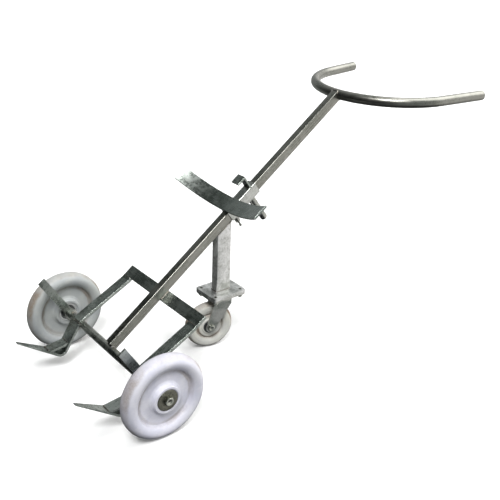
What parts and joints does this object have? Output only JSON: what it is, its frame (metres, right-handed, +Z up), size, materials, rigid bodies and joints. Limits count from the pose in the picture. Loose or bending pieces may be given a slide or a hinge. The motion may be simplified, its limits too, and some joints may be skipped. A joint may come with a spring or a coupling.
{
  "type": "drum dolly",
  "caption": "Stainless drum dolly: tilted spine tube on two wheels and a rear swivel caster, with a U handle, toes, fork arms and a sliding cradle with a hook.",
  "frame": {"origin": "on the floor, under the middle of the overall length and width, with the dolly parked on its two wheels and its caster", "axes": "+X along the axle, +Y back to the operator, +Z up"},
  "size_m": [0.5048, 1.1524, 0.6263],
  "materials": {
    "polished_tube": "satin, brushed lengthways",
    "sleeve_steel": "bright brushed",
    "blasted_plate": "pickled, mottled grey",
    "flat_bar": "dark satin mill finish",
    "turned_steel": "turned",
    "bearing_steel": "polished",
    "fastener_steel": "bright",
    "pressed_steel": "pressed sheet, satin",
    "near_nylon": "cast white, slightly lilac, scuffed",
    "far_nylon": "cast white, greyed",
    "caster_nylon": "cream white",
    "hub_cover": "grey"
  },
  "bodies": {
    "frame": {"spine_tube": "polished_tube", "axle_shaft": "turned_steel", "cross_rail": "flat_bar", "left_side_rail": "flat_bar", "right_side_rail": "flat_bar", "left_fork_arm": "flat_bar", "right_fork_arm": "flat_bar", "left_toe": "flat_bar", "right_toe": "flat_bar", "left_toe_brace": "flat_bar", "right_toe_brace": "flat_bar", "post_tube": "blasted_plate", "mounting_plate": "blasted_plate", "handle_tube": "polished_tube", "handle_end_plugs": "polished_tube", "axle_collars": "turned_steel", "axle_bearing_inner_rings": "bearing_steel", "axle_bearing_balls": "bearing_steel", "axle_end_washers": "turned_steel", "axle_end_bolts": "fastener_steel", "caster_top_plate": "pressed_steel", "caster_plate_bolts": "fastener_steel", "caster_plate_nuts": "fastener_steel", "caster_upper_race": "pressed_steel", "caster_swivel_balls": "bearing_steel", "caster_king_pin": "turned_steel"},
    "left_wheel": {"left_wheel": "far_nylon", "left_wheel_bearing_outer_rings": "bearing_steel"},
    "right_wheel": {"right_wheel": "near_nylon", "right_wheel_bearing_outer_rings": "bearing_steel"},
    "caster_fork": {"caster_fork": "pressed_steel", "caster_axle_bolt": "fastener_steel", "caster_axle_nut": "fastener_steel", "caster_axle_bush": "turned_steel", "caster_hub_rollers": "bearing_steel"},
    "caster_wheel": {"caster_wheel": "caster_nylon", "caster_hub_covers": "hub_cover"},
    "carriage": {"carriage_sleeve": "sleeve_steel", "cradle_spacer": "flat_bar", "drum_cradle": "flat_bar", "drum_hook": "flat_bar", "carriage_grip": "turned_steel", "clamp_screw_boss": "turned_steel"},
    "clamp_screw": {"clamp_screw": "turned_steel", "tommy_bar": "turned_steel"}
  },
  "joints": [
    {"name": "left_wheel_spin", "type": "hinge", "parent": "frame", "child": "left_wheel", "pos_m": [-0.225, -0.41201, 0.1], "axis": [1, 0, 0], "continuous": true},
    {"name": "right_wheel_spin", "type": "hinge", "parent": "frame", "child": "right_wheel", "pos_m": [0.225, -0.41201, 0.1], "axis": [1, 0, 0], "continuous": true},
    {"name": "caster_swivel", "type": "hinge", "parent": "frame", "child": "caster_fork", "pos_m": [0, -0.09101, 0.14], "axis": [0, 0, 1], "continuous": true},
    {"name": "caster_wheel_spin", "type": "hinge", "parent": "caster_fork", "child": "caster_wheel", "pos_m": [-0.00882, -0.12177, 0.0625], "axis": [0.9613, -0.2756, 0], "continuous": true},
    {"name": "carriage_slide", "type": "slide", "parent": "frame", "child": "carriage", "axis": [0, 0.8028, 0.5962], "range_m": [0, 0.3]},
    {"name": "clamp_screw_turn", "type": "hinge", "parent": "carriage", "child": "clamp_screw", "pos_m": [0, -0.04926, 0.34449], "axis": [0, 0.5962, -0.8028], "range_deg": [0, 360]}
  ]
}
